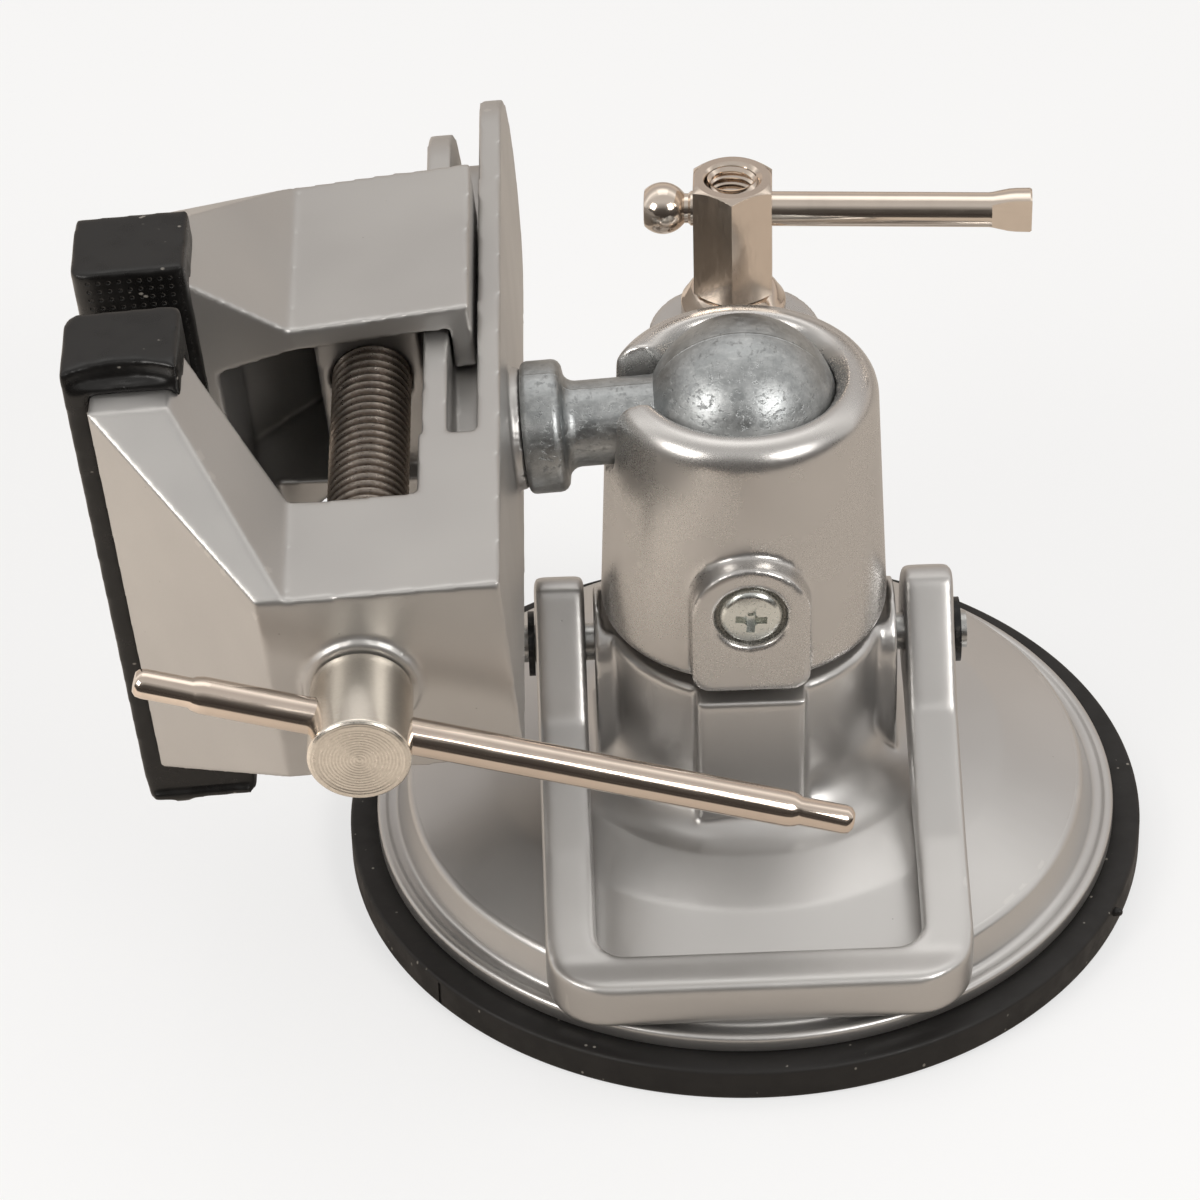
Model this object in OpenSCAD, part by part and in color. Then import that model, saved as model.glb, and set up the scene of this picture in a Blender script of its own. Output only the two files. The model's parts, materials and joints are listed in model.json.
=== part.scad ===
// Bench vise on a suction base: the jaws ride on a ball that a slotted housing clamps.
// Millimetres, +Z up. The origin is the centre of the pad's underside, the handle side is -Y.

/* [Suction pad and base] */
// Diameter of the rubber suction pad
pad_d = 130; // [126:1:136]
// Thickness of the pad at its edge
pad_h = 6; // [5:0.5:7]
// Depth of the suction hollow under the clamped pad
hollow_h = 2.8; // [2:0.2:3.6]
// Diameter of the rubber core that is pulled up
core_d = 30; // [28:1:34]
// Width of the rubber that shows round the casting
pad_border = 4.5; // [3:0.5:6]
// Height of the casting's rim above the pad
rim_h = 3; // [2.5:0.5:4]
// Wall thickness of the base casting
shell_t = 3; // [2.5:0.5:4]
// Outer radius of the dome's bright inner band
band_r = 42; // [40:1:44]
// Height of the dome at that band above the pad
band_z = 13.2; // [12.6:0.2:13.8]
// Outer radius of the tower's foot
foot_r = 31.5; // [30:0.5:33]
// Height of the dome at the tower's foot above the pad
foot_z = 15.6; // [15.2:0.2:16]
// Diameter of the tower collar
collar_d = 45; // [44:0.5:46]
// Height of the collar's top above the floor
collar_top = 47; // [45:0.5:48]
// Width of the flat panel on the tower's front
panel_w = 17; // [14:0.5:18]
// How far that panel stands out of the collar
panel_out = 2.4; // [1.5:0.1:3]

/* [Locking lever] */
// Height of the lever's pivot above the floor
pivot_z = 40.7; // [40.2:0.1:41.2]
// Overall width of the lever
lever_w = 67; // [66:0.5:68]
// Width of the front bar seen from above
front_bar_w = 8; // [7:0.5:8.2]
// How far the ears stand out of the collar
ear_out = 1.6; // [1.2:0.1:2]
// Reach of the lever in front of its pivot
lever_reach = 58.5; // [57:0.5:60]
// Height of the front bar's underside above the floor
lever_low = 10; // [9.7:0.1:10.4]
// Height of the front bar
lever_bar_h = 8.4; // [7.6:0.2:9]
// Radius of the round eyes that the arms end in
eye_r = 10.6; // [9.6:0.2:11.4]
// Distance of an eye's flat upper face from the pivot
eye_flat = 7.4; // [7:0.2:8.6]
// Slope of that flat face, in degrees
eye_slope = 52; // [48:1:56]
// Width of the tower's ears that face the lever's eyes
ear_w = 18; // [16:0.5:19]
// Clearance between an ear and its lever arm
ear_gap = 1.4; // [1:0.1:1.6]
// Diameter of the pivot pin
pin_d = 6; // [5:0.25:6.5]
// Diameter of the spring clips on the pin's ends
clip_d = 10.4; // [9.5:0.2:11]
// Offset of the cam that lifts the plunger
cam_offset = 2.07; // [1.8:0.01:2.1]
// Diameter of the lifting cam
cam_d = 11.4; // [11.2:0.1:11.6]
// Diameter of the plunger
plunger_d = 18; // [17:0.5:19]

/* [Ball and housing] */
// Height of the ball's centre above the floor
ball_z = 85.7; // [85:0.1:86.4]
// Diameter of the ball
ball_d = 30; // [29:0.5:31]
// Diameter of the neck between ball and head
neck_d = 13.4; // [12.6:0.1:14]
// Diameter of the stem's collar
stem_collar_d = 20.7; // [20:0.1:22]
// Distance from the ball's centre to the stem's collar
stem_collar_u = 27.6; // [27:0.1:28]
// Thickness of the stem's collar
stem_collar_t = 6.3; // [5.8:0.1:6.7]
// Diameter of the tower's pillar inside the housing
pillar_d = 34.8; // [34:0.2:36]
// Diameter of the housing at its lower end
housing_d = 45.6; // [45:0.2:46.4]
// Diameter of the housing at its rim
housing_top_d = 42.4; // [42:0.2:43.4]
// Gap between the collar and the housing
housing_gap = 2.3; // [1.5:0.1:3]
// Height of the seat's edge above the ball's centre
rim_over_ball = 4.5; // [4:0.1:5]
// Height of the rim above the seat's edge
rim_rise = 2.6; // [2:0.1:3.2]
// Clearance of the neck in the housing's slot
slot_gap = 0.7; // [0.4:0.1:1]
// Width of the lug on the housing's front
lug_w = 18.6; // [16:0.2:19]
// Distance of the lug's front face from the middle
lug_y = 25.3; // [24.9:0.2:26.1]
// Height of the lug screw above the floor
screw_z = 64.2; // [63.2:0.5:65.2]
// Diameter of the lug screw's head
screw_head_d = 10; // [9:0.25:10.5]
// Diameter of the lug screw's shank
screw_d = 4.9; // [4:0.1:5.4]

/* [Ball clamp] */
// Clearance between the housing's wall and the clamp washer
washer_ease = 0.4; // [0.3:0.1:0.8]
// Diameter of the clamp stud
stud_d = 8; // [7:0.5:8]
// Radius of the housing's rear lobe
lobe_r = 13.8; // [13:0.2:14.4]
// How far the lobe's centre lies ahead of the stud
lobe_ahead = 5; // [4.5:0.1:5.6]
// Depth of the lobe's top below the ball's centre
lobe_drop = 2.5; // [2:0.1:3]
// Width of the clamp nut across its flats
nut_af = 12.4; // [12:0.2:13.6]
// Height of the clamp nut
nut_h = 20.3; // [19.5:0.1:21]
// Diameter of the washer under the clamp nut
washer_d = 16.8; // [16:0.2:17.4]
// Thickness of the washer under the clamp nut
washer_t = 5.2; // [4.4:0.1:6]
// Diameter of the clamp bar
clamp_bar_d = 5.6; // [5:0.1:6]
// Length of the clamp bar on its long side
clamp_bar_long = 47.2; // [42:0.1:48]
// Angle of the clamp bar towards the front, in degrees
clamp_bar_yaw = 3.7; // [0:0.1:6]

/* [Head pose] */
// Droop of the head below level, in degrees
head_droop = 4.4; // [3.5:0.1:4.6]
// Height of the slide's middle above the stem's line
slide_lift = 1.7; // [1:0.1:2.2]
// Roll of the head about its stem, in degrees
head_roll = -2.6; // [-4:0.2:0]
// Turn of the head round the tower, in degrees
head_yaw = -1; // [-2:0.2:1]

/* [Slide] */
// Distance from the ball's centre to the slide plate
plate_u = 35.7; // [35.4:0.1:36]
// Width of the slide plate
slide_w = 34.2; // [33:0.2:35]
// Thickness of the slide plate
plate_t = 3.6; // [3:0.2:4.2]
// Distance from the ball to the slide's front face
slide_front = 58.8; // [57:0.2:60]
// Distance from the ball to the slide plate's far end
slide_back = 73.7; // [70:0.1:75]
// Height of the slot between the plate and the rail
slot_h = 4.4; // [4:0.1:4.8]
// Thickness of the rail
rail_t = 3.9; // [3.4:0.1:4.4]
// Width of the web that carries the rail
web_w = 20; // [18:0.5:22]
// How much shorter the rail is than the plate
rail_short = 8.6; // [7:0.1:12]
// Length of the step between the fixed jaw's block and the slot
ledge_len = 13.8; // [12:0.2:15]
// Diameter of the spigot that the slide turns on
spigot_d = 10; // [9:0.5:11]

/* [Jaws] */
// Thickness of the fixed jaw's block
block_t = 22.5; // [21:0.5:24]
// Half length of the jaws' metal
jaw_half = 35; // [33:0.5:36]
// Height of the jaws' near edge above the slide plate
jaw_low = 46.6; // [46:0.1:47.5]
// Height of the metal jaws
jaw_h = 11.9; // [11:0.1:13]
// Thickness of a metal jaw
jaw_t = 16; // [14.5:0.5:17]
// Gap between the rubber faces at rest
jaw_gap = 8.7; // [8.5:0.1:10]
// Distance from the ball to the fixed jaw's rubber face
grip_s = 15.3; // [14.5:0.1:16]
// Thickness of the rubber on the gripping face
cover_face = 3; // [2.4:0.2:3.6]
// Thickness of the rubber under the jaws
cover_wall = 1.6; // [1.2:0.2:2.2]
// Thickness of the rubber over the jaws' top
cover_top = 3.8; // [3.2:0.1:4.6]
// Thickness of the rubber on the jaws' ends
cover_end = 4.6; // [3.6:0.2:5.4]
// Extra length of the fixed jaw's cover at its lower end
cover_foot = 2.4; // [1.6:0.2:3]
// Depth of a rubber cover
cover_depth = 15; // [13:0.5:16]
// Depth of the arch in the back edge of the fixed jaw's cover
arch_rise = 2.2; // [1.6:0.2:2.6]
// Thickness of the moving jaw's cheeks
cheek_t = 3.9; // [3.5:0.1:4.5]
// Play between the rail and each cheek
cheek_play = 1.2; // [0.9:0.1:1.5]
// Draft of the cheeks, in degrees
cheek_draft = 3.8; // [3:0.1:4.4]
// Length of the moving jaw's cheeks along the slide
cheek_len = 37.5; // [35:0.5:40]
// Distance from the ball to the near end of the cheeks
cheek_s = 0.5; // [0:0.1:1.2]
// How much further back the lower cheek begins
cheek_short = 9.3; // [8:0.1:10]
// Height of the cheeks' ridge above the slide plate
ridge_h = 32.2; // [31:0.2:33]
// Distance from the cheeks' near end to the threaded block
nut_block_in = 13; // [10:0.5:14]
// Height and depth of the threaded block
nut_block = 16.6; // [15.4:0.2:17]

/* [Spindle] */
// Diameter of the spindle's thread
thread_d = 12.5; // [11:0.5:13]
// Diameter of the spindle's plain shank
shank_d = 9.2; // [8:0.2:10]
// Height of the spindle above the slide plate
spindle_h = 22.2; // [22:0.1:23]
// Diameter of the spindle's barrel
barrel_d = 15.2; // [14:0.2:16]
// Length of the spindle's barrel
barrel_len = 15.4; // [14:0.2:17]
// Length of the thread inside the slide
thread_len = 95; // [92:1:98]
// Radius of the boss that the barrel runs on
boss_r = 8.6; // [8:0.2:9.4]
// Diameter of the spindle bar
bar_d = 5.5; // [5:0.1:6]
// Length of the spindle bar on its long side
bar_long = 74.9; // [70:0.1:76]
// Length of the spindle bar on its short side
bar_short = 33.4; // [30:0.1:36]
// Angle of the spindle bar from the stem's line, in degrees
bar_angle = 21.2; // [10:0.1:30]

/* [Hidden] */
fit = 0.06;
gap = 0.3;
ease = 0.12;
grow = 0.5;
seam = 0.05;
$fn = 64;

rim_r = pad_d / 2 - pad_border;
collar_r = collar_d / 2;
pillar_r = pillar_d / 2;
pillar_top = ball_z - 9;
lock_angle = 39;
lift_now = cam_offset * sin(lock_angle);
cam_slide = cam_offset * (1 - cos(lock_angle));
bore_r = plunger_d / 2 + fit;
cam_reach = cam_d / 2 + cam_offset;
cam_half = sqrt(bore_r * bore_r - cam_reach * cam_reach) - gap;
plunger_top = pivot_z + lift_now + cam_d / 2 + ease + shell_t;
core_top = pad_h + 2;
flange_t = 3;
flange_r = core_d / 2 - 1;
dome_top = pad_h + foot_z;
dome_roof = dome_top - shell_t;

lever_half = lever_w / 2;
arm_in = collar_r + ear_out + ear_gap;
ear_face = collar_r + ear_out;
ear_root = collar_r - 5;
clip_t = 1.1;
clip_x = lever_half + clip_t / 2 + 0.1;
groove_r = pin_d / 2 - 0.4;

ball_r = ball_d / 2;
housing_r = housing_d / 2;
housing_top_r = housing_top_d / 2;
housing_low = collar_top + housing_gap;
rim_top = ball_z + rim_over_ball + rim_rise;
sleeve_r = pillar_r + gap;
socket_r = ball_r + fit;
seat_r = sqrt(socket_r * socket_r - rim_over_ball * rim_over_ball);
lug_bottom = housing_low + 0.3;
screw_seat = lug_y - 2.2;
screw_tip = 10;

lobe_top = ball_z - lobe_drop;
rim_round = 4;
wall_taper = (housing_r - housing_top_r) / (rim_top - rim_round - housing_low - 1);
wall_r = housing_r - (lobe_top - housing_low - 1) * wall_taper;
stud_y = wall_r + washer_ease + washer_d / 2;
lobe_y = stud_y - lobe_ahead;
stud_boss_r = stud_d / 2 + 5.4;
stud_low = housing_low - 18;
washer_z = lobe_top + seam;
nut_z = washer_z + washer_t + seam;
bar_z = nut_z + nut_h - 5.8;
stud_top = bar_z - clamp_bar_d / 2 - 1.2;
bar_end_d = 8.2;
nut_corner = nut_af / cos(30);

rail_u = plate_u + plate_t + slot_h;
rail_top = rail_u + rail_t;
slide_r = slide_w / 2;
block_back = slide_front - block_t;
slot_front = block_back - ledge_len;
spindle_u = plate_u + spindle_h;
spigot_r = spigot_d / 2;
stem_end = stem_collar_u + stem_collar_t;
jaw_u = plate_u + jaw_low;
jaw_top = jaw_u + jaw_h;
fixed_face = grip_s + cover_face;
move_grip = jaw_gap - grip_s;
move_face = move_grip + cover_face;
cheek_in = slide_r + cheek_play;
cheek_low = plate_u + plate_t + 0.7;
cheek_back = cheek_s + cheek_len;
ridge_u = plate_u + ridge_h;
roof_u = jaw_u - 3.3;
hook_top = rail_u - 0.4;
nut_s = cheek_s + nut_block_in;
boss_t = 1;
barrel_s = slide_front + boss_t + gap;
barrel_end = barrel_s + barrel_len;
bar_s = barrel_s + barrel_len * 0.5;
bar_neck = 9.5;
thread_s = gap - block_back;
cover_w = jaw_half + cover_end;

// Points of an arc about [cx, cy] from angle a0 to a1
function arc(cx, cy, r, a0, a1, n = 6) =
    [for (i = [0:n]) let (a = a0 + (a1 - a0) * i / n) [cx + r * cos(a), cy + r * sin(a)]];

// Outer half section of the dome, from the grooved rim inwards
function dome_line() = concat(
    [[rim_r, pad_h]],
    arc(rim_r - 0.8, pad_h + rim_h - 0.8, 0.8, 0, 90, 4),
    [[rim_r - 1.4, pad_h + rim_h], [rim_r - 1.8, pad_h + rim_h - 0.5], [rim_r - 3.2, pad_h + rim_h - 0.5],
        [rim_r - 3.6, pad_h + rim_h]],
    arc(rim_r - 6.8, pad_h + rim_h + 3.4, 1.8, 10, 70, 4),
    [[band_r, pad_h + band_z], [foot_r, dome_top]]);

// Foot fillet and collar of the tower
function tower_line() = concat(
    arc(foot_r - 0.4, dome_top + 8.5, foot_r - collar_r - 0.4, 268, 182, 8),
    [[collar_r, collar_top - 0.8], [collar_r - 0.8, collar_top]]);

// Half width between the moving jaw's cheeks at a height u
function cheek_half(u) = cheek_in - (u - rail_u) * tan(cheek_draft);

// Lays the stem, built upright about the ball's centre, into its resting place
module stem_place() {
    translate([0, 0, ball_z])
        rotate([0, 0, head_yaw])
            rotate([0, -(90 + head_droop), 0])
                rotate([0, 0, head_roll])
                    children();
}

// The same for what the stem carries, whose middle lies off the stem's line
module head_place() {
    stem_place()
        translate([slide_lift, 0, 0])
            children();
}

// A cylinder along +Y from y0 to y1
module y_rod(r, y0, y1) {
    translate([0, y0, 0])
        rotate([-90, 0, 0])
            cylinder(r = r, h = y1 - y0);
}

// A cylinder along +X from x0 to x1
module x_rod(r, x0, x1) {
    translate([x0, 0, 0])
        rotate([0, 90, 0])
            cylinder(r = r, h = x1 - x0);
}

// A block given by its low corner and its high corner
module span_block(low, high) {
    translate(low)
        cube(high - low);
}

// The children and their mirror image across X = 0
module both_sides() {
    for (side = [0, 1])
        mirror([side, 0, 0])
            children();
}

// Rubber pad: flat outer ring, hollow underneath while it is clamped
module suction_pad() {
    hole = core_d / 2 + fit;
    edge = pad_d / 2;
    color([0.09, 0.09, 0.09])
        rotate_extrude($fn = 128)
            polygon([[hole, hollow_h], [edge * 0.6, hollow_h * 0.6], [edge * 0.8, 0], [edge - 0.6, 0],
                [edge, 0.6], [edge, pad_h - 0.5], [edge - 0.5, pad_h], [hole, pad_h]]);
}

// Rubber moulded under the plunger's flange
module pad_core() {
    color([0.11, 0.11, 0.11])
        translate([0, 0, hollow_h])
            cylinder(d = core_d, h = core_top - hollow_h);
}

// Plunger that the cam lifts: a flange on the rubber, a round body and a cross slot
module plunger() {
    color("silver")
        difference() {
            union() {
                translate([0, 0, core_top])
                    cylinder(r = flange_r, h = flange_t);
                translate([0, 0, core_top])
                    cylinder(d = plunger_d, h = plunger_top - core_top);
            }
            for (y = [cam_offset - cam_slide - ease, cam_offset + ease])
                translate([0, y, pivot_z + lift_now])
                    x_rod(cam_d / 2 + ease, -plunger_d, plunger_d);
        }
}

// Hollow dome, tower collar and the pillar that seats the ball
module base_casting() {
    color([0.66, 0.66, 0.65])
        difference() {
            union() {
                rotate_extrude($fn = 128)
                    polygon(concat([[0, pad_h]], dome_line(), tower_line(),
                        [[pillar_r, collar_top], [pillar_r, pillar_top], [0, pillar_top]]));
                both_sides()
                    ear_pad();
                front_panel();
                stud_boss();
            }
            dome_hollow();
            translate([0, 0, pad_h - 1])
                cylinder(r = bore_r, h = plunger_top - pad_h + 2.5);
            translate([0, 0, pivot_z])
                x_rod(pin_d / 2 + fit, -lever_w, lever_w);
            translate([0, 0, ball_z])
                sphere(r = socket_r, $fn = 96);
            translate([0, 0, screw_z])
                y_rod(screw_d / 2 + seam, -lug_y, 2 - screw_tip);
            translate([0, stud_y, stud_low])
                cylinder(d = stud_d, h = lobe_top - stud_low);
        }
}

// Space under the dome between the shell and the pad
module dome_hollow() {
    rotate_extrude($fn = 128)
        polygon([[bore_r - 1, pad_h - 1], [rim_r - 7, pad_h - 1], [rim_r - 8.5, pad_h + rim_h + 0.6],
            [band_r - 1, pad_h + band_z - shell_t], [foot_r - 1, dome_roof - 0.4], [bore_r - 1, dome_roof]]);
}

// Round-topped boss beside the tower that carries the lever's pin
module ear_pad() {
    difference() {
        translate([0, 0, pivot_z])
            union() {
                x_rod(ear_w / 2, ear_root, ear_face);
                span_block([ear_root, -ear_w / 2, dome_top - 1 - pivot_z], [ear_face, ear_w / 2, 0]);
            }
        translate([0, 0, collar_top])
            cylinder(r = housing_r + gap, h = ear_w);
    }
}

// Raised panel under the housing's lug
module front_panel() {
    span_block([-panel_w / 2, -collar_r - panel_out, dome_top - 1], [panel_w / 2, -pillar_r, collar_top]);
}

// Boss behind the tower that anchors the clamp stud
module stud_boss() {
    translate([0, stud_y, dome_top - 3])
        cylinder(r = stud_boss_r, h = collar_top - dome_top + 3);
    span_block([-stud_boss_r, collar_r - 4, dome_top - 3], [stud_boss_r, stud_y, collar_top]);
}

// A side view, with Y as its first axis and Z as its second, drawn out to the lever's width
module lever_slab() {
    translate([-lever_half, 0, 0])
        rotate([90, 0, 90])
            linear_extrude(lever_w)
                children();
}

// Side view of the lever's arms and front bar
module arm_side() {
    bar_top = lever_low + lever_bar_h;
    front = -lever_reach;
    polygon(concat(
        arc(front + 1.5, bar_top - 1.5, 1.5, 180, 90, 4),
        [[front + 6.5, bar_top], [front * 0.56, pivot_z - 15.6], [front * 0.43, pivot_z - 11.7],
            [-eye_r * 0.7, pivot_z - 2], [0, pivot_z], [0, pivot_z - eye_r + 0.4], [-eye_r - 2, pivot_z - 15],
            [front * 0.44, pivot_z - 20.3], [front + 8.5, lever_low]],
        arc(front + 1, lever_low + 1, 1, 270, 180, 3)));
}

// Round eye of the lever with its flat face along the first axis and a bevelled top corner
module lever_eye() {
    corner = eye_r - 0.3;
    tail = -eye_r - 2.4;
    difference() {
        union() {
            circle(r = eye_r, $fn = 96);
            polygon([[tail, 0], [corner, 0], [corner, eye_flat - 2], [corner - 3, eye_flat + 1],
                [tail, eye_flat + 1]]);
        }
        translate([-2 * eye_r, eye_flat])
            square([4 * eye_r, eye_r]);
    }
}

// Lever: one bail whose arms straddle the tower, with its front bar over the dome's edge
module lock_lever() {
    color([0.68, 0.68, 0.67])
        difference() {
            intersection() {
                union() {
                    lever_slab()
                        arm_side();
                    lever_slab()
                        translate([0, pivot_z])
                            rotate(eye_slope)
                                lever_eye();
                }
                linear_extrude(pivot_z + eye_r + 1)
                    bail_plan(lever_half, -lever_reach, 7.5);
            }
            translate([0, 0, -1])
                linear_extrude(pivot_z + eye_r + 3)
                    bail_plan(arm_in, front_bar_w - lever_reach, 4);
            lever_clearance();
            translate([0, 0, pivot_z])
                x_rod(pin_d / 2, -lever_w, lever_w);
        }
}

// Plan of a bail: straight sides and two round corners at the front
module bail_plan(half, front, corner) {
    polygon(concat(
        [[half, 40], [-half, 40]],
        arc(-half + corner, front + corner, corner, 180, 270, 6),
        arc(half - corner, front + corner, corner, 270, 360, 6)));
}

// The dome with an allowance, so that the lever's underside follows it
module lever_clearance() {
    translate([0, 0, grow])
        rotate_extrude($fn = 128)
            polygon([[0, 0], [rim_r - 1.4, 0], [rim_r - 1.4, pad_h + rim_h - 0.4],
                [rim_r - 3.2, pad_h + rim_h], [rim_r - 4.6, pad_h + rim_h + 3.6],
                [rim_r - 6, pad_h + rim_h + 5.4], [band_r, pad_h + band_z], [foot_r, dome_top],
                [0, dome_top]]);
}

// Pin that turns with the lever
module lever_pin() {
    half = lever_half + 2.2;
    color([0.42, 0.42, 0.42])
        translate([0, 0, pivot_z])
            difference() {
                x_rod(pin_d / 2, -half, half);
                both_sides()
                    translate([clip_x, 0, 0])
                        rotate([0, 90, 0])
                            difference() {
                                cylinder(r = pin_d, h = clip_t, center = true);
                                cylinder(r = groove_r, h = clip_t + 1, center = true);
                            }
            }
}

// Cam keyed to the pin inside the plunger's slot
module lift_cam() {
    color("dimgray")
        translate([0, 0, pivot_z])
            difference() {
                translate([0, cam_offset * cos(lock_angle), cam_offset * sin(lock_angle)])
                    x_rod(cam_d / 2, -cam_half, cam_half);
                x_rod(pin_d / 2, -cam_half - 1, cam_half + 1);
            }
}

// Spring clips in the pin's grooves
module pin_clips() {
    color([0.1, 0.1, 0.1])
        both_sides()
            translate([clip_x, 0, pivot_z])
                rotate([0, 90, 0])
                    difference() {
                        cylinder(d = clip_d, h = clip_t - 0.1, center = true);
                        cylinder(r = groove_r, h = clip_t + 1, center = true);
                    }
}

// Half section of the housing's wall
function housing_line() = concat(
    [[sleeve_r, housing_low]],
    arc(housing_r - 1, housing_low + 1, 1, 270, 360, 4),
    arc(housing_top_r - rim_round, rim_top - rim_round, rim_round, 0, 90, 8));

// Plan of the lobe behind the housing that takes the clamp stud
module lobe_plan() {
    translate([0, lobe_y])
        circle(r = lobe_r);
    polygon([[-lobe_r, lobe_y], [-lobe_r - 1.4, housing_top_r * 0.66], [0, 0],
        [lobe_r + 1.4, housing_top_r * 0.66], [lobe_r, lobe_y]]);
}

// Slotted housing that closes over the ball
module ball_housing() {
    color([0.7, 0.68, 0.65])
        difference() {
            union() {
                rotate_extrude($fn = 128)
                    polygon(concat(housing_line(), [[0, rim_top], [0, housing_low]]));
                translate([0, 0, housing_low])
                    linear_extrude(lobe_top - housing_low)
                        lobe_plan();
                lug();
            }
            translate([0, 0, housing_low - 1])
                cylinder(r = sleeve_r, h = ball_z - 2 - housing_low);
            translate([0, 0, ball_z])
                sphere(r = socket_r, $fn = 96);
            translate([0, 0, ball_z + rim_over_ball])
                cylinder(r1 = seat_r, r2 = socket_r + 1.4, h = rim_rise + seam);
            neck_slot(neck_d / 2 + slot_gap);
            translate([0, 0, screw_z])
                y_rod(screw_head_d / 2 + 0.65, -lug_y - 5, -screw_seat);
            translate([0, 0, screw_z])
                y_rod(screw_d / 2 + gap, -lug_y - 1, 1 - sleeve_r);
            translate([0, stud_y, housing_low - 1])
                cylinder(d = stud_d + 1, h = lobe_top - housing_low + 2);
        }
}

// Slot for the neck, from its droop up and over the rim
module neck_slot(r) {
    translate([0, 0, ball_z])
        rotate([0, 0, head_yaw])
            rotate([0, -(90 + head_droop), 0]) {
                cylinder(r = r, h = housing_d);
                translate([0, -r, 0])
                    cube([housing_d, 2 * r, housing_d]);
            }
}

// Arched lug at the housing's front
module lug() {
    root = housing_top_r - 6;
    half = lug_w / 2;
    translate([0, -root, 0])
        rotate([90, 0, 0])
            linear_extrude(lug_y - root) {
                translate([0, screw_z])
                    circle(r = half);
                polygon(concat([[half, screw_z], [-half, screw_z]],
                    arc(-half + 3, lug_bottom + 3, 3, 180, 270, 4),
                    arc(half - 3, lug_bottom + 3, 3, 270, 360, 4)));
            }
}

// Cross-headed screw through the lug
module lug_screw() {
    head_r = screw_head_d / 2;
    color([0.78, 0.79, 0.78])
        translate([0, 0, screw_z])
            difference() {
                union() {
                    rotate([90, 0, 0])
                        rotate_extrude()
                            polygon(concat([[0, screw_seat], [head_r, screw_seat]],
                                arc(head_r - 1.6, screw_seat + 0.8, 1.6, 0, 80, 5),
                                [[0, screw_seat + 2.4]]));
                    y_rod(screw_d / 2, -screw_seat, -screw_tip);
                }
                for (turn = [0, 90])
                    rotate([0, turn, 0])
                        span_block([-2.7, -screw_seat - 4, -0.6], [2.7, -screw_seat - 0.9, 0.6]);
            }
}

// Stud that the clamp nut runs on
module clamp_stud() {
    color("silver")
        translate([0, stud_y, stud_low])
            cylinder(d = stud_d, h = stud_top - stud_low);
}

// Conical washer between nut and lobe
module clamp_washer() {
    flat_t = washer_t * 0.45;
    color([0.8, 0.76, 0.7])
        translate([0, stud_y, washer_z])
            difference() {
                union() {
                    cylinder(d = washer_d, h = flat_t);
                    translate([0, 0, flat_t])
                        cylinder(r1 = washer_d / 2, r2 = nut_af / 2, h = washer_t - flat_t);
                }
                translate([0, 0, -1])
                    cylinder(d = stud_d + 0.4, h = washer_t + 2);
            }
}

// Tall hexagon nut with an open threaded end and a cross hole
module clamp_nut() {
    flat_r = nut_af / 2 - 0.2;
    tip_r = nut_corner / 2 + 0.1;
    color([0.82, 0.77, 0.7])
        translate([0, stud_y, nut_z])
            rotate([0, 0, -clamp_bar_yaw])
                difference() {
                    intersection() {
                        rotate([0, 0, 30])
                            cylinder(d = nut_corner, h = nut_h, $fn = 6);
                        rotate_extrude()
                            polygon([[0, 0], [flat_r, 0], [tip_r, 0.6], [tip_r, nut_h - 0.8],
                                [flat_r, nut_h], [0, nut_h]]);
                    }
                    translate([0, 0, -1])
                        cylinder(d = stud_d + 2 * fit, h = nut_h + 2);
                    translate([0, 0, nut_h - 0.9])
                        cylinder(r1 = stud_d / 2 - 0.2, r2 = stud_d / 2 + 0.8, h = 1);
                    translate([0, 0, bar_z - nut_z])
                        x_rod(clamp_bar_d / 2 + fit, -nut_corner, nut_corner);
                }
}

// Clamp bar with a swollen end and a flattened end
module clamp_bar() {
    near = nut_af / 2 + 0.4;
    bar_r = clamp_bar_d / 2;
    color([0.84, 0.79, 0.72])
        translate([0, stud_y, bar_z])
            rotate([0, 0, -clamp_bar_yaw]) {
                x_rod(bar_r, -near, clamp_bar_long - 6.5);
                x_rod(bar_r - 0.4, -near - 1.5, 0);
                translate([-near - 1, 0, 0])
                    rotate([0, -90, 0])
                        rotate_extrude()
                            polygon(concat([[0, 0], [bar_r - 0.4, 0]],
                                arc(0, 3.4, bar_end_d / 2, -50, 47, 10), [[0, 6.4]]));
                translate([clamp_bar_long, 0, 0])
                    rotate([0, -90, 0])
                        spade_end(bar_r);
            }
}

// Flared end of a rod, pressed flat on its front and its back
module spade_end(rod_r) {
    half_t = 1.9;
    flat_l = 4.6;
    flare_l = 7;
    difference() {
        cylinder(r1 = rod_r + 0.75, r2 = rod_r, h = flare_l);
        for (side = [0, 180])
            rotate([0, 0, side])
                translate([-5, half_t, -1])
                    cube([10, 5, flat_l + 1]);
    }
}

// Ball, neck and collar with the spigot that the head turns on
module ball_stem() {
    neck_r = neck_d / 2;
    disc_r = stem_collar_d / 2;
    color([0.5, 0.53, 0.56])
        stem_place() {
            sphere(r = ball_r, $fn = 96);
            rotate_extrude($fn = 96)
                polygon(concat(
                    [[0, 0], [neck_r, 0], [neck_r, stem_collar_u - 2.5]],
                    arc(neck_r + 2, stem_collar_u - 2, 2, 180, 90, 5),
                    arc(disc_r - 1.5, stem_collar_u + 1.5, 1.5, 270, 360, 4),
                    arc(disc_r - 0.8, stem_end - 0.8, 0.8, 0, 90, 3),
                    [[spigot_r, stem_end], [spigot_r, rail_u - 2], [0, rail_u - 2]]));
        }
}

// One jaw and its arm: the hull of a root, given as half width and side view, and a bar
module jaw_arm(half, side_view, bar_low, bar_high) {
    hull() {
        rotate([90, 0, 90])
            linear_extrude(2 * half, center = true)
                polygon(side_view);
        span_block([-jaw_half, bar_low, jaw_u], [jaw_half, bar_high, jaw_top]);
    }
}

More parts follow.
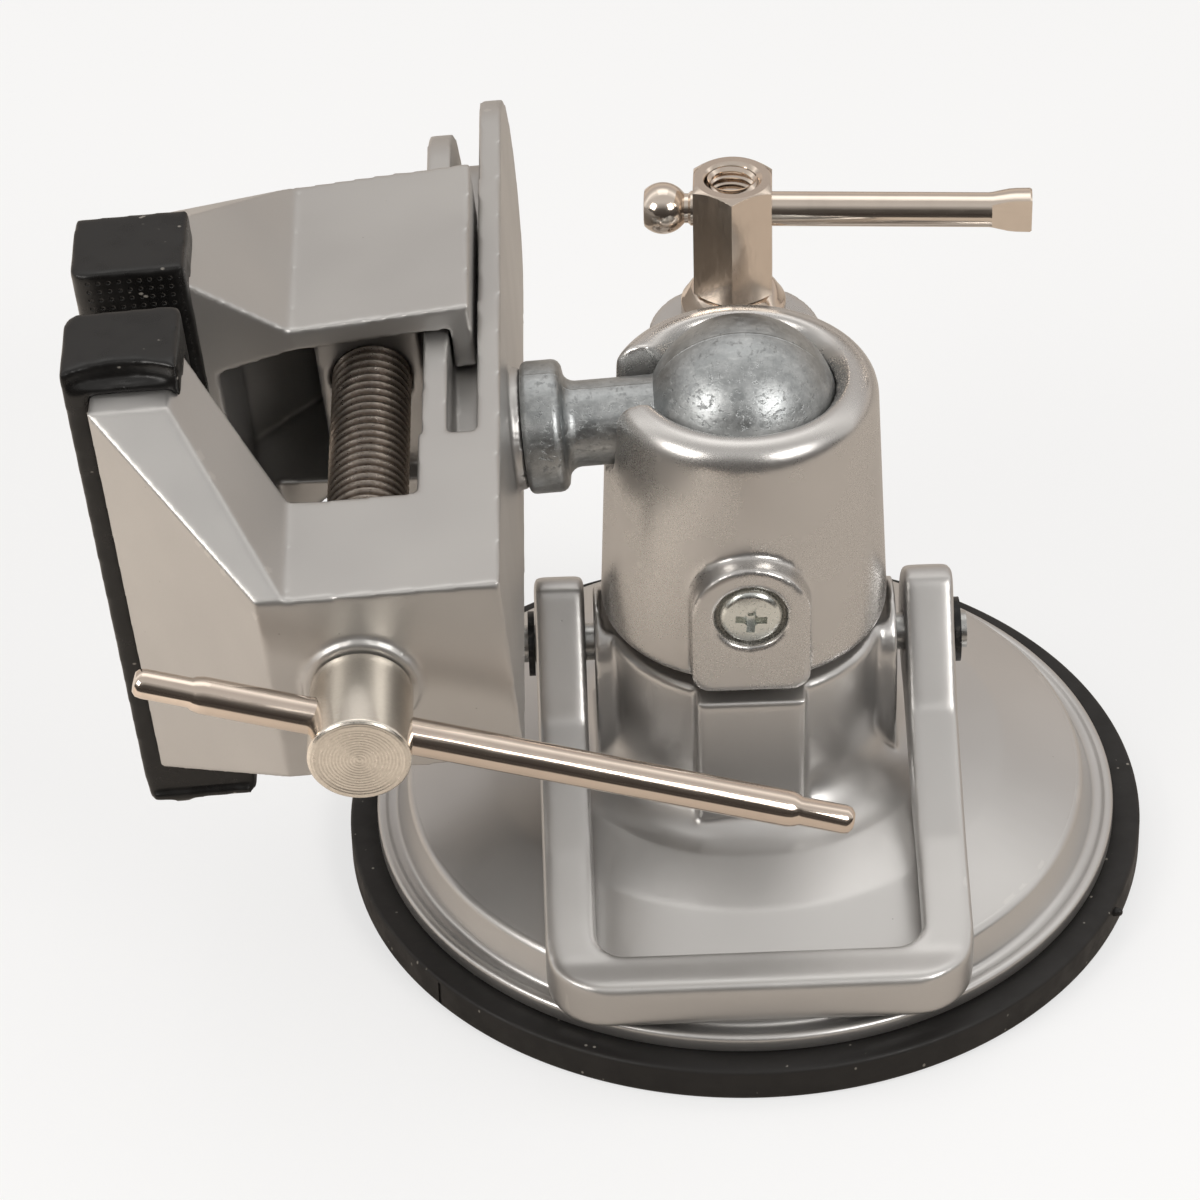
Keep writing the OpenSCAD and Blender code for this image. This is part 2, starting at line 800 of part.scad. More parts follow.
// Arm of the fixed jaw, leaning inwards from the block
module fixed_arm() {
    root_u = ridge_u - 0.8;
    jaw_arm(slide_r, [[-slide_front, root_u], [-slide_front, ridge_u + 3.4], [-block_back, ridge_u - 0.4],
        [-block_back, root_u]], -fixed_face - jaw_t, -fixed_face);
}

// Arm of the moving jaw, leaning inwards from the cheeks
module moving_arm() {
    root_u = ridge_u - 0.2;
    jaw_arm(cheek_half(ridge_u) + cheek_t, [[cheek_s, root_u], [cheek_s, ridge_u], [cheek_back, ridge_u], [cheek_back, root_u]],
        move_face, move_face + jaw_t);
}

// Outline of a plate with a half-round far end
module round_ended(width, front, back) {
    translate([-width / 2, front])
        square([width, back - front - width / 2]);
    translate([0, back - width / 2])
        circle(d = width, $fn = 96);
}

// Slide plate, rail and fixed jaw: one casting
module slide_frame() {
    rail_back = slide_back - rail_short;
    color([0.64, 0.64, 0.63])
        head_place()
            difference() {
                union() {
                    translate([0, 0, plate_u])
                        linear_extrude(plate_t)
                            round_ended(slide_w, -slide_front, slide_back);
                    translate([0, 0, rail_u])
                        linear_extrude(rail_t)
                            round_ended(slide_w, -slot_front - 2, rail_back);
                    translate([0, 0, plate_u + 1])
                        linear_extrude(slot_h + plate_t)
                            round_ended(web_w, -slot_front - 2, rail_back - 4);
                    span_block([-slide_r, -block_back - 1, plate_u], [slide_r, -slot_front, rail_top + 0.5]);
                    span_block([-slide_r, -slide_front, plate_u], [slide_r, -block_back, ridge_u - 0.4]);
                    fixed_arm();
                    translate([-slide_lift, 0, stem_end + seam])
                        cylinder(r = spigot_r + 4.5, h = plate_u - stem_end);
                    translate([0, 0, spindle_u])
                        y_rod(boss_r, -slide_front - boss_t, 1 - slide_front);
                }
                translate([-slide_lift, 0, stem_collar_u])
                    cylinder(r = spigot_r + fit, h = rail_u - stem_collar_u - 1);
                translate([0, 0, spindle_u])
                    y_rod(shank_d / 2 + fit, -slide_front - 5, 5 - block_back);
            }
}

// Rubber sleeve over a jaw: open at the back, closed at its ends
module cover_shape(face, dir, foot) {
    low = jaw_u - cover_wall;
    high = jaw_top + cover_top;
    round_r = 2.4;
    translate([-cover_w - foot, face, 0])
        rotate([0, 90, 0])
            linear_extrude(2 * cover_w + foot)
                polygon(concat(
                    [[-low, dir * cover_depth], [-high, dir * cover_depth]],
                    [for (p = arc(-high + round_r, round_r, round_r, 180, 270, 4)) [p[0], dir * p[1]]],
                    [for (p = arc(-low - 1, 1, 1, 270, 360, 3)) [p[0], dir * p[1]]]));
}

// Arched back edge of the wall that closes the upper end of the fixed jaw's cover
module cover_arch() {
    mid_u = (jaw_u + jaw_top + cover_top - cover_wall) / 2;
    arch_r = 18;
    translate([jaw_half + cover_wall, arch_rise - grip_s - cover_depth - arch_r, mid_u])
        rotate([0, 90, 0])
            cylinder(r = arch_r, h = cover_end);
}

// Rubber cover of the fixed jaw
module fixed_jaw_cover() {
    color([0.08, 0.08, 0.08])
        head_place()
            difference() {
                cover_shape(-grip_s, -1, cover_foot);
                fixed_arm();
                cover_arch();
            }
}

// Rubber cover of the moving jaw
module moving_jaw_cover() {
    color([0.08, 0.08, 0.08])
        head_place()
            difference() {
                cover_shape(move_grip, 1, 0);
                moving_arm();
            }
}

// Cheeks seen along the slide, widened by a wall, from a low to a high level
module cheek_section(wall, low, high) {
    rotate([90, 0, 0])
        linear_extrude(2 * slide_back, center = true)
            polygon([[-cheek_half(low) - wall, low], [cheek_half(low) + wall, low],
                [cheek_half(high) + wall, high], [-cheek_half(high) - wall, high]]);
}

// Space inside the moving jaw: open to the front and to the slide, with a sloping roof
module jaw_hollow() {
    wall_s = cheek_back - cheek_t;
    knee_u = ridge_u - 2.4;
    intersection() {
        rotate([90, 0, 90])
            linear_extrude(2 * slide_w, center = true)
                polygon([[move_grip - 20, cheek_low - 1], [wall_s, cheek_low - 1], [wall_s, knee_u],
                    [wall_s + knee_u - roof_u, roof_u], [move_grip - 20, roof_u]]);
        cheek_section(0, cheek_low - 1, roof_u);
    }
}

// Two drafted cheeks with the leaning arm over them
module cheek_body() {
    intersection() {
        span_block([-slide_w, cheek_s, cheek_low], [slide_w, cheek_back, ridge_u]);
        cheek_section(cheek_t, cheek_low, ridge_u);
    }
    moving_arm();
}

// Moving jaw: two cheeks hooked under the rail, a threaded block and the leaning arm
module moving_jaw() {
    block_r = nut_block / 2;
    color([0.64, 0.64, 0.63])
        head_place()
            difference() {
                union() {
                    difference() {
                        cheek_body();
                        jaw_hollow();
                        span_block([-cheek_in, cheek_back - cheek_t - 1, cheek_low - 1],
                            [cheek_in, cheek_back + 1, rail_top + 0.4]);
                        span_block([-slide_w, cheek_s - 1, cheek_low - 1],
                            [-web_w / 2, cheek_s + cheek_short, roof_u - 4]);
                    }
                    for (side = [0, 1])
                        mirror([side, 0, 0])
                            span_block([web_w / 2 + 0.8, cheek_s + side * cheek_short, cheek_low],
                                [cheek_in + 1, cheek_back, hook_top]);
                    span_block([-cheek_half(spindle_u) - 1, nut_s, spindle_u - block_r],
                        [cheek_half(spindle_u) + 1, nut_s + nut_block, spindle_u + block_r]);
                }
                translate([0, 0, spindle_u])
                    y_rod(thread_d / 2 + fit, nut_s - 1, cheek_back + 1);
            }
}

// Spindle: threaded rod, plain shank and the barrel that takes the bar
module spindle() {
    barrel_r = barrel_d / 2;
    color([0.55, 0.5, 0.46])
        head_place()
            translate([0, 0, spindle_u])
                difference() {
                    union() {
                        y_rod(shank_d / 2, -barrel_s - 1, thread_s + 1);
                        y_rod(thread_d / 2 - 0.9, thread_s, thread_s + 3);
                        y_rod(thread_d / 2, thread_s + 2, thread_s + thread_len);
                        rotate([-90, 0, 0])
                            rotate_extrude()
                                polygon([[0, 0.2 - barrel_end], [barrel_r - 1.6, 0.2 - barrel_end],
                                    [barrel_r - 1.4, -barrel_end], [barrel_r - 0.5, -barrel_end],
                                    [barrel_r, 0.5 - barrel_end], [barrel_r, -barrel_s - 0.4],
                                    [barrel_r - 0.4, -barrel_s], [0, -barrel_s]]);
                    }
                    bar_line()
                        translate([0, 0, -barrel_d])
                            cylinder(d = bar_d + 2 * fit, h = 2 * barrel_d);
                }
}

// Turns +Z onto the spindle bar's line, its long side up the axis
module bar_line() {
    translate([0, -bar_s, 0])
        rotate([0, 180 + bar_angle, 0])
            children();
}

// Spindle bar: stepped down and crimped at both ends
module spindle_bar() {
    neck_r = bar_d / 2 - 0.55;
    color([0.84, 0.79, 0.72])
        head_place()
            translate([0, 0, spindle_u])
                bar_line() {
                    translate([0, 0, bar_neck - bar_short])
                        cylinder(d = bar_d, h = bar_short + bar_long - 2 * bar_neck);
                    rotate_extrude()
                        polygon([[0, -bar_short], [neck_r - 0.5, -bar_short], [neck_r, 0.5 - bar_short],
                            [neck_r, bar_long - 0.5], [neck_r - 0.5, bar_long], [0, bar_long]]);
                }
}

suction_pad();
pad_core();
plunger();
base_casting();
lock_lever();
lever_pin();
lift_cam();
pin_clips();
ball_housing();
lug_screw();
clamp_stud();
clamp_washer();
clamp_nut();
clamp_bar();
ball_stem();
slide_frame();
fixed_jaw_cover();
moving_jaw();
moving_jaw_cover();
spindle();
spindle_bar();
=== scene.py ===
"""Looks of the suction base vise: softened castings, turned nickel parts, rubber pad and covers."""
import json
import math

import bpy
from mathutils import Matrix, Vector


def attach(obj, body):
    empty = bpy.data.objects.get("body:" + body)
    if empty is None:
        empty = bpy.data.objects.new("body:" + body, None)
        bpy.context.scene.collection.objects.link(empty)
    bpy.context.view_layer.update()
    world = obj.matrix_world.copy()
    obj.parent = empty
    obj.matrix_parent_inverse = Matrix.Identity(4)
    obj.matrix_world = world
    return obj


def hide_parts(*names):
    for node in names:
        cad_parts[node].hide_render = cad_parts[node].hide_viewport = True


MM = 0.001
FULL_TURN = 2 * math.pi
CAST_ANGLE = 60
SLIDE_LIFT = 1.7 * MM
SPINDLE_HEIGHT = 57.9 * MM
BAR_REACH = 67.8 * MM
LUG_HEIGHT = 64.2 * MM
SPINDLE_PITCH, NUT_PITCH = 1.75, 1.25

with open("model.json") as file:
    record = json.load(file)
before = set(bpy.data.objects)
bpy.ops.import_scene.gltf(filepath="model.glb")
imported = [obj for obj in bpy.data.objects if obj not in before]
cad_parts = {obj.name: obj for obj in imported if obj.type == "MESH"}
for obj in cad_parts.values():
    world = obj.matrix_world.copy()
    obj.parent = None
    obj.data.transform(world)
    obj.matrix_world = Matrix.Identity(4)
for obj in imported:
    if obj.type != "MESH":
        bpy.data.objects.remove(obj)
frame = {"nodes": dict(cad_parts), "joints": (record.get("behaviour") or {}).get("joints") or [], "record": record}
joints = {joint["name"]: joint for joint in frame["joints"]}
body_of = {node: body for body, nodes in frame["record"]["behaviour"]["bodies"].items() for node in nodes}
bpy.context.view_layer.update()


def frame_from(origin, x_axis, y_axis):
    """A placing matrix from an origin and two directions."""
    x = Vector(x_axis).normalized()
    z = x.cross(Vector(y_axis)).normalized()
    y = z.cross(x)
    return Matrix.Translation(Vector(origin)) @ Matrix((x, y, z)).transposed().to_4x4()


# Directions of the tilted head: along the slide, away from the ball, and up across both
SLIDE = Vector(joints["jaw_slide"]["axis"])
AWAY = -Vector(joints["head_turn"]["axis"])
ACROSS = SLIDE.cross(AWAY).normalized()
BALL = Vector(joints["head_tilt"]["pos_m"])
STEM = frame_from(BALL, ACROSS, SLIDE)
HEAD = frame_from(BALL + SLIDE_LIFT * ACROSS, ACROSS, SLIDE)
SCREW = HEAD @ Matrix.Translation((0, 0, SPINDLE_HEIGHT))
BAR_WAY = Vector(joints["spindle_bar_slide"]["axis"])
BAR = frame_from(SCREW @ Vector((0, -BAR_REACH, 0)), SLIDE.cross(BAR_WAY), SLIDE)
STUD = Vector((0, joints["nut_turn"]["pos_m"][1], 0))
CLAMP = Vector(joints["nut_bar_slide"]["axis"])


# Handling of pieces

def pick(*pieces):
    """Selects only these pieces and makes the last one active."""
    bpy.ops.object.select_all(action="DESELECT")
    for piece in pieces:
        piece.select_set(True)
    bpy.context.view_layer.objects.active = pieces[-1]


def named(name):
    """Names the active piece and its mesh."""
    piece = bpy.context.object
    piece.name = name
    piece.data.name = name
    return piece


def applied(piece, kind, **settings):
    """Adds a modifier, sets it and applies it at once."""
    pick(piece)
    modifier = piece.modifiers.new(kind.lower(), kind)
    for key, value in settings.items():
        setattr(modifier, key, value)
    bpy.ops.object.modifier_apply(modifier=modifier.name)
    return piece


def placed(piece, place):
    """Puts a piece built about the origin in its place and keeps the place in its mesh."""
    pick(piece)
    piece.matrix_world = place
    bpy.ops.object.transform_apply(location=True, rotation=True, scale=True)
    return piece


def cleaned(piece, join=0.00001):
    """Joins doubled points and turns all faces outwards."""
    pick(piece)
    bpy.ops.object.mode_set(mode="EDIT")
    bpy.ops.mesh.select_all(action="SELECT")
    bpy.ops.mesh.remove_doubles(threshold=join)
    bpy.ops.mesh.normals_make_consistent(inside=False)
    bpy.ops.object.mode_set(mode="OBJECT")
    return piece


def smooth(piece, angle=35):
    """Smooth shading with hard edges above an angle in degrees."""
    pick(piece)
    bpy.ops.object.shade_smooth_by_angle(angle=math.radians(angle))
    return piece


def drawn(name, points):
    """A line of edges drawn from point to point, each point extruded from the one before."""
    bpy.ops.object.select_all(action="DESELECT")
    bpy.ops.mesh.primitive_plane_add(size=MM)
    piece = named(name)
    bpy.ops.object.mode_set(mode="EDIT")
    bpy.ops.mesh.select_all(action="SELECT")
    bpy.ops.mesh.merge(type="CENTER")
    bpy.ops.transform.translate(value=Vector(points[0]) * MM)
    for before, after in zip(points, points[1:]):
        step = (Vector(after) - Vector(before)) * MM
        bpy.ops.mesh.extrude_region_move(TRANSFORM_OT_translate={"value": step})
    bpy.ops.object.mode_set(mode="OBJECT")
    return piece


def turned(name, section, place=Matrix.Identity(4), steps=96, angle=30):
    """A turned piece: its half section, as radius and height in millimetres, spun about the place's Z."""
    piece = drawn(name, [(radius, 0, height) for radius, height in section])
    bpy.ops.object.mode_set(mode="EDIT")
    bpy.ops.mesh.select_all(action="SELECT")
    bpy.ops.mesh.spin(steps=steps, angle=FULL_TURN, center=(0, 0, 0), axis=(0, 0, 1))
    bpy.ops.object.mode_set(mode="OBJECT")
    cleaned(piece)
    return smooth(placed(piece, place), angle)


def block(name, low, high, place=Matrix.Identity(4)):
    """A box between two corners, in millimetres of a place."""
    bpy.ops.object.select_all(action="DESELECT")
    bpy.ops.mesh.primitive_cube_add(size=MM)
    middle = (Vector(low) + Vector(high)) / 2
    sides = Vector(high) - Vector(low)
    return placed(named(name), place @ Matrix.Translation(middle * MM) @ Matrix.Diagonal((*sides, 1)))


def cut(piece, cutter):
    """Takes a cutter's shape out of a piece."""
    applied(piece, "BOOLEAN", object=cutter, operation="DIFFERENCE", solver="EXACT")
    bpy.data.objects.remove(cutter)
    return piece


def broken_edges(piece, width, angle=30):
    """Breaks a piece's sharp edges and keeps its large faces flat in the light."""
    applied(piece, "BEVEL", width=width * MM, segments=2, limit_method="ANGLE",
            angle_limit=math.radians(angle))
    smooth(piece, 50)
    return applied(piece, "WEIGHTED_NORMAL", keep_sharp=True)


def thread(name, root, crest, pitch, low, high, place, steps=40):
    """A right-hand thread from a low to a high level about the place's Z."""
    turns = int((high - low) / pitch)
    section = [(root, low), (crest, low + 0.36 * pitch), (crest, low + 0.5 * pitch),
               (root, low + 0.86 * pitch), (root, low + pitch)]
    piece = drawn(name, [(radius, 0, height) for radius, height in section])
    applied(piece, "SCREW", axis="Z", steps=steps, render_steps=steps, iterations=turns,
            screw_offset=pitch * MM, use_merge_vertices=True, merge_threshold=0.00001)
    cleaned(piece)
    return smooth(placed(piece, place), 30)


def own_copy(node, name):
    """A copy of a CAD node with its loose triangles joined, standing in for the node."""
    piece = bpy.data.objects.new(name, frame["nodes"][node].data.copy())
    piece.data.name = name
    piece.data.materials.clear()
    bpy.context.scene.collection.objects.link(piece)
    cleaned(piece)
    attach(piece, body_of[node])
    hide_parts(node)
    return piece


def casting(node, name, cell, passes, keep, cutters=(), added=()):
    """A cast or moulded piece: the CAD shape and what is added to it, with every edge softly rounded.

    It is rebuilt in cells of a size in millimetres, smoothed in passes, and keeps a share of its triangles.
    """
    piece = own_copy(node, name)
    for cutter in cutters:
        cut(piece, cutter)
    if added:
        pick(*added, piece)
        bpy.ops.object.join()
    applied(piece, "REMESH", mode="VOXEL", voxel_size=cell * MM, adaptivity=0)
    applied(piece, "SMOOTH", factor=0.5, iterations=passes)
    applied(piece, "DECIMATE", ratio=keep)
    return smooth(piece, CAST_ANGLE)


def machined(node, name, edge, angle=30):
    """A machined piece: the CAD shape with its sharp edges broken."""
    piece = own_copy(node, name)
    pick(piece)
    bpy.ops.object.mode_set(mode="EDIT")
    bpy.ops.mesh.select_all(action="SELECT")
    bpy.ops.mesh.dissolve_limited(angle_limit=math.radians(1))
    bpy.ops.object.mode_set(mode="OBJECT")
    return broken_edges(piece, edge, angle)


def arc(x, z, radius, start, end, steps=6):
    """Points of an arc in a section, in millimetres and degrees."""
    turn = [math.radians(start + (end - start) * i / steps) for i in range(steps + 1)]
    return [(x + radius * math.cos(t), z + radius * math.sin(t)) for t in turn]


# Finishes

class Finish:
    """A material and its nodes, read in the metres of the object or of a placed piece."""

    def __init__(self, name, metal, place=None):
        self.material = bpy.data.materials.new(name)
        self.material.use_nodes = True
        self.nodes = self.material.node_tree.nodes
        self.links = self.material.node_tree.links
        self.shader = self.nodes["Principled BSDF"]
        self.shader.inputs["Metallic"].default_value = metal
        self.where = self.nodes.new("ShaderNodeTexCoord").outputs["Object"]
        self.height = None
        if place is not None:
            back = place.inverted()
            mapping = self.nodes.new("ShaderNodeMapping")
            mapping.inputs["Location"].default_value = back.to_translation()
            mapping.inputs["Rotation"].default_value = back.to_euler()
            self.links.new(self.where, mapping.inputs["Vector"])
            self.where = mapping.outputs["Vector"]

    def scaled(self, scale):
        """The place scaled along its three axes."""
        mapping = self.nodes.new("ShaderNodeMapping")
        mapping.inputs["Scale"].default_value = scale
        self.links.new(self.where, mapping.inputs["Vector"])
        return mapping.outputs["Vector"]

    def noise(self, size, detail=3.0, stretch=(1, 1, 1), rough=0.5):
        """Noise whose patches are about a size in millimetres."""
        texture = self.nodes.new("ShaderNodeTexNoise")
        texture.inputs["Scale"].default_value = 1 / (size * MM)
        texture.inputs["Detail"].default_value = detail
        texture.inputs["Roughness"].default_value = rough
        self.links.new(self.scaled(stretch), texture.inputs["Vector"])
        return texture.outputs["Fac"]

    def cells(self, size, stretch=(1, 1, 1)):
        """Distance to the nearest of scattered points about a size apart in millimetres."""
        texture = self.nodes.new("ShaderNodeTexVoronoi")
        texture.inputs["Scale"].default_value = 1 / (size * MM)
        self.links.new(self.scaled(stretch), texture.inputs["Vector"])
        return texture.outputs["Distance"]

    def sums(self, work, first, second=0.0, third=0.0):
        """One step of arithmetic on values or on outputs."""
        step = self.nodes.new("ShaderNodeMath")
        step.operation = work
        for socket, value in zip(step.inputs, (first, second, third)):
            if isinstance(value, (int, float)):
                socket.default_value = value
            else:
                self.links.new(value, socket)
        return step.outputs[0]

    def spread(self, source, low, high, start=0.0, end=1.0):
        """A value's range stretched onto another one and held inside it."""
        step = self.nodes.new("ShaderNodeMapRange")
        step.interpolation_type = "SMOOTHSTEP"
        for socket, value in zip(step.inputs[1:5], (low, high, start, end)):
            socket.default_value = value
        self.links.new(source, step.inputs[0])
        return step.outputs[0]

    def axis(self, letter):
        """One coordinate of the place, in metres."""
        split = self.nodes.new("ShaderNodeSeparateXYZ")
        self.links.new(self.where, split.inputs[0])
        return split.outputs[letter]

    def round_about(self, first, second):
        """Distance from the axis that lies across two coordinates of the place."""
        squares = [self.sums("POWER", self.axis(letter), 2) for letter in (first, second)]
        return self.sums("SQRT", self.sums("ADD", *squares))

    def mixed(self, factor, first, second):
        """Two colours mixed by a value or an output."""
        mix = self.nodes.new("ShaderNodeMix")
        mix.data_type = "RGBA"
        for socket, value in ((mix.inputs[0], factor), (mix.inputs[6], first), (mix.inputs[7], second)):
            if isinstance(value, (int, float)):
                socket.default_value = value
            elif isinstance(value, (tuple, list)):
                socket.default_value = (*value, 1)
            else:
                self.links.new(value, socket)
        return mix.outputs[2]

    def colour(self, source):
        """Gives the shader its colour."""
        self.links.new(source, self.shader.inputs["Base Color"])

    def roughness(self, source):
        """Gives the shader its roughness."""
        self.links.new(source, self.shader.inputs["Roughness"])

    def bump(self, source, depth, strength=1.0):
        """Relief of a depth in millimetres, laid over the relief before it."""
        step = self.nodes.new("ShaderNodeBump")
        step.inputs["Distance"].default_value = depth * MM
        step.inputs["Strength"].default_value = strength
        self.links.new(source, step.inputs["Height"])
        if self.height is not None:
            self.links.new(self.height, step.inputs["Normal"])
        self.height = step.outputs["Normal"]
        self.links.new(self.height, self.shader.inputs["Normal"])


def cast_finish(name, light, dark, shine, peel, place=None, grit=0.003):
    """Satin silver skin of a die casting: soft orange peel, clouded shine, rubbed edges."""
    skin = Finish(name, 0.88, place)
    clouds = skin.noise(30, 2)
    grain = skin.noise(0.3, 2)
    tone = skin.mixed(skin.spread(clouds, 0.2, 0.8), dark, light)
    rubbed = skin.nodes.new("ShaderNodeNewGeometry").outputs["Pointiness"]
    tone = skin.mixed(skin.spread(rubbed, 0.52, 0.58, 0.0, 0.2), tone, (0.80, 0.78, 0.75))
    pits = skin.spread(skin.cells(5.5), 0.0, 0.035, 1.0, 0.0)
    skin.colour(skin.mixed(skin.sums("MULTIPLY", pits, 0.6), tone, (0.16, 0.15, 0.14)))
    haze = skin.spread(skin.noise(12, 2), 0.3, 0.7, shine - 0.02, shine + 0.03)
    skin.roughness(skin.sums("ADD", haze, skin.spread(grain, 0.35, 0.65, -0.015, 0.02)))
    skin.bump(skin.noise(2.2, 1), peel, 0.35)
    skin.bump(grain, grit, 0.4)
    skin.bump(skin.sums("SUBTRACT", 1.0, pits), 0.05, 0.6)
    return skin.material


def plated_finish(name, colour, shine, place=None, stretch=(1, 1, 1)):
    """Bright nickel plating: a warm tone, drawn marks along the stock and a few pits."""
    plate = Finish(name, 1.0, place)
    marks = plate.noise(0.5, 3, stretch)
    tarnish = plate.spread(plate.noise(5, 4), 0.45, 0.75, 0.0, 0.3)
    plate.colour(plate.mixed(tarnish, colour, tuple(0.82 * c for c in colour)))
    plate.roughness(plate.spread(marks, 0.3, 0.7, shine - 0.03, shine + 0.07))
    plate.bump(marks, 0.004, 0.35)
    plate.bump(plate.spread(plate.cells(2.4), 0.0, 0.06, -1.0, 0.0), 0.015, 0.5)
    return plate.material


def rubber_finish(name, colour, rough, place=None, gloss=0.3, grain=0.03):
    """Moulded rubber: a matte skin with dust in its grain."""
    skin = Finish(name, 0.0, place)
    specks = skin.spread(skin.cells(2.2, (1, 1, 0.7)), 0.07, 0.14, 1.0, 0.0)
    dust = skin.sums("MULTIPLY", specks, skin.spread(skin.noise(3.1, 2), 0.5, 0.58, 0.0, 0.8))
    film = skin.spread(skin.noise(14, 4), 0.35, 0.75, 0.0, 0.3)
    tone = skin.mixed(film, colour, tuple(1.8 * c for c in colour))
    skin.colour(skin.mixed(dust, tone, (0.30, 0.28, 0.25)))
    skin.roughness(skin.spread(skin.noise(4, 4), 0.3, 0.7, rough - 0.08, rough + 0.1))
    skin.shader.inputs["Specular IOR Level"].default_value = gloss
    skin.bump(skin.noise(0.9, 3), grain, 0.5)
    skin.bump(skin.noise(0.25, 2), 0.4 * grain, 0.4)
    return skin


def zinc_finish(name, place):
    """Raw zinc casting: blue-grey, blotched, with its parting line and fine handling marks."""
    raw = Finish(name, 1.0, place)
    blotch = raw.noise(2.4, 8, rough=0.8)
    streak = raw.noise(0.8, 4, (1, 1, 0.4))
    tone = raw.mixed(raw.spread(blotch, 0.35, 0.68), (0.33, 0.345, 0.35), (0.47, 0.485, 0.49))
    nicks = raw.spread(raw.noise(0.55, 4, (1, 0.35, 0.6), 0.7), 0.54, 0.7)
    tone = raw.mixed(raw.spread(streak, 0.55, 0.75, 0.0, 0.35), tone, (0.68, 0.70, 0.70))
    raw.colour(raw.mixed(raw.sums("MULTIPLY", nicks, 0.4), tone, (0.16, 0.17, 0.175)))
    raw.roughness(raw.spread(blotch, 0.3, 0.7, 0.3, 0.48))
    seam = raw.spread(raw.sums("ABSOLUTE", raw.axis("Y")), 0.0, 0.22 * MM, 1.0, 0.0)
    raw.bump(blotch, 0.06, 0.6)
    raw.bump(streak, 0.04, 0.8)
    raw.bump(nicks, -0.05, 0.8)
    raw.bump(seam, 0.12, 0.8)
    return raw.material


# Materials of the pieces

def grip_rubber():
    """Rubber of the jaw covers, with rows of small dimples pressed into the gripping faces."""
    skin = rubber_finish("jaw_rubber_skin", (0.0065, 0.0061, 0.0059), 0.33, HEAD, 0.4, 0.01)
    pitch, mouth = 3.1 * MM, 10.95 * MM
    waves = [skin.sums("SINE", skin.sums("MULTIPLY", skin.axis(letter), FULL_TURN / pitch))
             for letter in ("X", "Z")]
    dimples = skin.spread(skin.sums("ABSOLUTE", skin.sums("MULTIPLY", *waves)), 0.7, 0.9)
    own_normal = skin.nodes.new("ShaderNodeVectorTransform")
    own_normal.vector_type = "NORMAL"
    own_normal.convert_from, own_normal.convert_to = "WORLD", "OBJECT"
    skin.links.new(skin.nodes.new("ShaderNodeNewGeometry").outputs["Normal"], own_normal.inputs[0])
    along = skin.nodes.new("ShaderNodeVectorMath")
    along.operation = "DOT_PRODUCT"
    along.inputs[1].default_value = SLIDE
    skin.links.new(own_normal.outputs[0], along.inputs[0])
    inner = skin.spread(skin.sums("ABSOLUTE", along.outputs["Value"]), 0.9, 0.97)
    from_mouth = skin.sums("ABSOLUTE", skin.sums("ADD", skin.axis("Y"), mouth))
    between = skin.spread(from_mouth, 5 * MM, 6 * MM, 1.0, 0.0)
    pressed = skin.sums("MULTIPLY", skin.sums("MULTIPLY", dimples, inner), between)
    skin.bump(pressed, -0.25, 1.0)
    return skin.material


def thread_steel():
    """Dark oiled steel of the spindle: bright crests and brown, dusty roots."""
    steel = Finish("thread_steel_skin", 1.0, SCREW)
    radius = steel.round_about("X", "Z")
    far_end = steel.spread(steel.axis("Y"), 58.2 * MM, 58.6 * MM)
    crest = steel.sums("MAXIMUM", steel.spread(radius, 5.7 * MM, 6.22 * MM), far_end)
    marks = steel.noise(0.6, 4, (1, 2.5, 1))
    tone = steel.mixed(crest, (0.11, 0.085, 0.07), (0.46, 0.41, 0.365))
    steel.colour(steel.mixed(steel.spread(marks, 0.45, 0.7, 0.0, 0.6), tone, (0.22, 0.17, 0.13)))
    steel.roughness(steel.spread(marks, 0.3, 0.7, 0.26, 0.5))
    steel.bump(marks, 0.03, 0.6)
    return steel.material


def barrel_nickel():
    """Plated barrel: rings left by the lathe on its end face."""
    plate = Finish("barrel_nickel_skin", 1.0, SCREW)
    tool_feed = 0.5 * MM
    rings = plate.sums("SINE", plate.sums("MULTIPLY", plate.round_about("X", "Z"), FULL_TURN / tool_feed))
    end_face = plate.spread(plate.axis("Y"), -75.25 * MM, -75.1 * MM, 1.0, 0.0)
    marks = plate.noise(0.5, 4, (1, 3, 1))
    tarnish = plate.spread(marks, 0.4, 0.75, 0.0, 0.35)
    plate.colour(plate.mixed(tarnish, (0.80, 0.745, 0.665), (0.60, 0.545, 0.48)))
    shine = plate.spread(marks, 0.3, 0.7, 0.17, 0.27)
    plate.roughness(plate.sums("ADD", shine, plate.sums("MULTIPLY", end_face, 0.1)))
    plate.bump(plate.sums("MULTIPLY", rings, end_face), 0.02, 0.8)
    plate.bump(marks, 0.01, 0.5)
    return plate.material


def black_steel():
    """Black oxide on the sprung clips."""
    skin = Finish("clip_skin", 0.6)
    marks = skin.noise(0.7, 4)
    skin.colour(skin.mixed(skin.spread(marks, 0.5, 0.75), (0.02, 0.02, 0.021), (0.07, 0.065, 0.06)))
    skin.roughness(skin.spread(marks, 0.3, 0.7, 0.32, 0.5))
    skin.bump(marks, 0.02, 0.5)
    return skin.material


